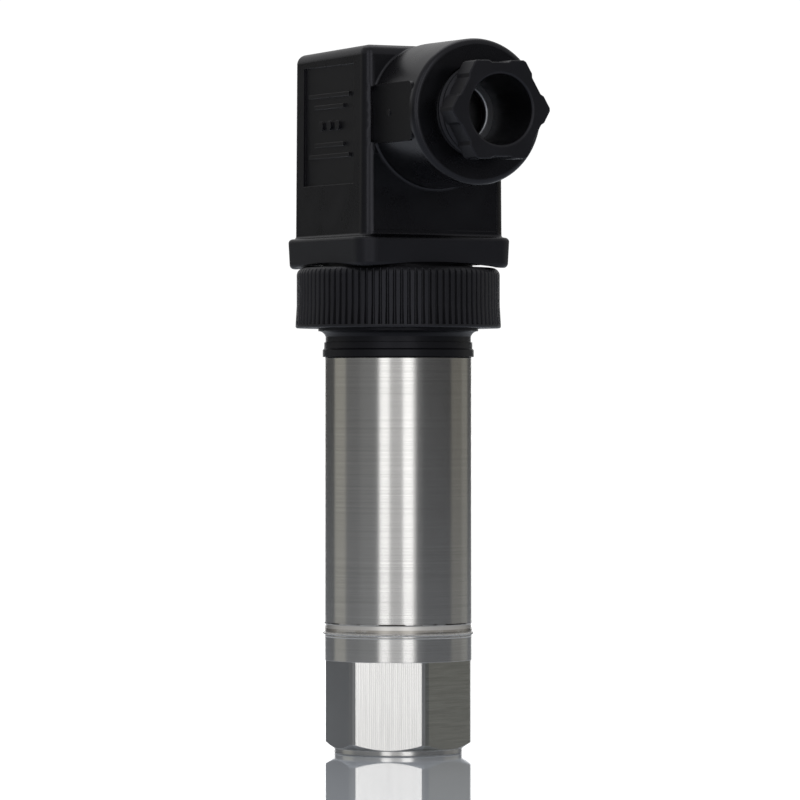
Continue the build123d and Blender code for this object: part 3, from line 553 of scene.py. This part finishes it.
def smallMetal(name, look):
    # bright plated or turned metal: even colour, and a slightly cloudy gloss from the plating
    # bath or the tool
    material, tree, surface, place = startMaterial(
        name, look["colour"], look["roughness"], Metallic=1.0)
    cloud = addNode(tree, "ShaderNodeTexNoise", {
        "Vector": place, "Scale": 1 / (look["cell"] * mm), "Detail": 3.0,
    }).outputs["Fac"]
    rough = addNode(tree, "ShaderNodeMapRange", {
        "Value": cloud, "To Min": look["roughness"] - metalSkin["glossier"],
        "To Max": look["roughness"] + metalSkin["duller"],
    }).outputs[0]
    tree.links.new(rough, surface.inputs["Roughness"])
    bump = addNode(tree, "ShaderNodeBump", {
        "Height": cloud, "Strength": metalSkin["strength"], "Distance": metalSkin["depth"] * mm,
    })
    tree.links.new(bump.outputs[0], surface.inputs["Normal"])
    return material


for finishName, finishLook in metals.items():
    paint(smallMetal(finishName, finishLook), *finishLook["pieces"])

# Rubber, ceramic, board and resin inside
inside = {
    "nitrileRubber": {"colour": "#4A4A4C", "pale": "#565658", "roughness": 0.62,
                      "cell": 0.5, "depth": 0.02,
                      "pieces": ("cell_seal", "tube_seal", "carrier_seal", "profile_gasket",
                                 "cable_grommet")},
    "aluminaCeramic": {"colour": "#E9E5DA", "pale": "#F2EFE7", "roughness": 0.38,
                       "cell": 0.3, "depth": 0.004,
                       "pieces": ("ceramic_cell",)},
    "glassBoard": {"colour": "#1C5A30", "pale": "#2B7040", "roughness": 0.30,
                   "cell": 0.6, "depth": 0.01,
                   "pieces": ("amplifier_board", "link_board")},
    "mouldingResin": {"colour": "#1E1E20", "pale": "#2A2A2C", "roughness": 0.50,
                      "cell": 0.25, "depth": 0.01,
                      "pieces": ("signal_chip", "board_header", "link_socket")},
    "capacitorCeramic": {"colour": "#8A6A48", "pale": "#9A7A56", "roughness": 0.35,
                         "cell": 0.3, "depth": 0.004,
                         "pieces": ("filter_capacitors",)},
}
insideSkin = {"ior": 1.52, "strength": 0.4}


def speckled(name, look):
    # a moulded, pressed or fired surface: two close tones in fine speckles and a shallow grain
    material, tree, surface, place = startMaterial(
        name, look["colour"], look["roughness"], IOR=insideSkin["ior"])
    cells = addNode(tree, "ShaderNodeTexNoise", {
        "Vector": place, "Scale": 1 / (look["cell"] * mm), "Detail": 3.0,
    }).outputs["Fac"]
    colour = addNode(tree, "ShaderNodeMix", {
        0: cells, 6: hexColour(look["colour"]), 7: hexColour(look["pale"]),
    }, data_type="RGBA").outputs[2]
    tree.links.new(colour, surface.inputs["Base Color"])
    bump = addNode(tree, "ShaderNodeBump", {
        "Height": cells, "Strength": insideSkin["strength"], "Distance": look["depth"] * mm,
    })
    tree.links.new(bump.outputs[0], surface.inputs["Normal"])
    return material


for finishName, finishLook in inside.items():
    paint(speckled(finishName, finishLook), *finishLook["pieces"])
print("small parts painted")

# Threads: one ridge each, on the smooth shanks and bores of the solids. A right-hand ridge that
# turns with its joint stays between the turns of its partner.
alongZ = Matrix.Identity(4)
glandHeight = (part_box("gland_nut")[0].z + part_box("gland_nut")[1].z) / 2
alongGland = Matrix.Translation((0, 0, glandHeight)) @ Matrix.Rotation(math.radians(90), 4, "X")
threads = {
    # radii, pitch, first and last height along the axis, in mm
    "nutThread": {
        "root": 7.28, "crest": 7.85, "pitch": 1.5, "start": 23.55, "end": 31.05,
        "place": alongGland, "body": "cable_nut", "slot": "black_polyamide",
        "finish": finishes["nutPolyamide"],
    },
    "glandThread": {
        "root": 7.97, "crest": 7.4, "pitch": 1.5, "start": 19.8, "end": 27.3,
        "place": alongGland, "body": "head", "slot": "black_polyamide",
        "finish": finishes["mouldedPolyamide"],
    },
    "neckThread": {
        "root": 13.28, "crest": 13.85, "pitch": 1.5, "start": 72.6, "end": 76.35,
        "place": alongZ, "body": "sensor", "slot": "ribbed_polyamide",
        "finish": finishes["neckPolyamide"],
    },
    "ringThread": {
        "root": 13.97, "crest": 13.4, "pitch": 1.5, "start": 73.35, "end": 76.35,
        "place": alongZ, "body": "union_ring", "slot": "ribbed_polyamide",
        "finish": finishes["ribbedPolyamide"],
    },
    "portThread": {
        "root": 6.6, "crest": 5.75, "pitch": 1.337, "start": 1.1, "end": 12.9,
        "place": alongZ, "body": "sensor", "slot": "stainless_steel",
        "finish": tubeSteel,
    },
}
ridgeShape = {
    "rootHalf": 0.37,      # half widths, as parts of the pitch
    "crestHalf": 0.12,
    "steps": 48,           # to a turn
}


def cutThread(name, size):
    shape = bmesh.new()
    rootHalf = size["pitch"] * ridgeShape["rootHalf"]
    crestHalf = size["pitch"] * ridgeShape["crestHalf"]
    outline = [(size["root"], -rootHalf), (size["crest"], -crestHalf),
               (size["crest"], crestHalf), (size["root"], rootHalf)]
    points = [shape.verts.new((r * mm, 0, (size["start"] + z) * mm)) for r, z in outline]
    sides = [shape.edges.new((points[i], points[i - 1])) for i in range(len(points))]
    rise = size["end"] - size["start"]
    turns = rise / size["pitch"]
    steps = round(turns * ridgeShape["steps"])
    bmesh.ops.spin(shape, geom=points + sides, cent=(0, 0, 0), axis=(0, 0, 1),
                   dvec=(0, 0, rise * mm / steps),
                   angle=2 * math.pi * turns, steps=steps, use_merge=False)
    bmesh.ops.holes_fill(shape, edges=[e for e in shape.edges if e.is_boundary], sides=0)
    bmesh.ops.recalc_face_normals(shape, faces=shape.faces)
    shape.transform(size["place"])
    mesh = bpy.data.meshes.new(name)
    shape.to_mesh(mesh)
    shape.free()
    mesh.materials.append(size["finish"])
    ridge = bpy.data.objects.new(name, mesh)
    bpy.context.scene.collection.objects.link(ridge)
    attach(ridge, size["body"])


for threadName, threadSize in threads.items():
    cutThread(threadName, threadSize)
print("threads cut")
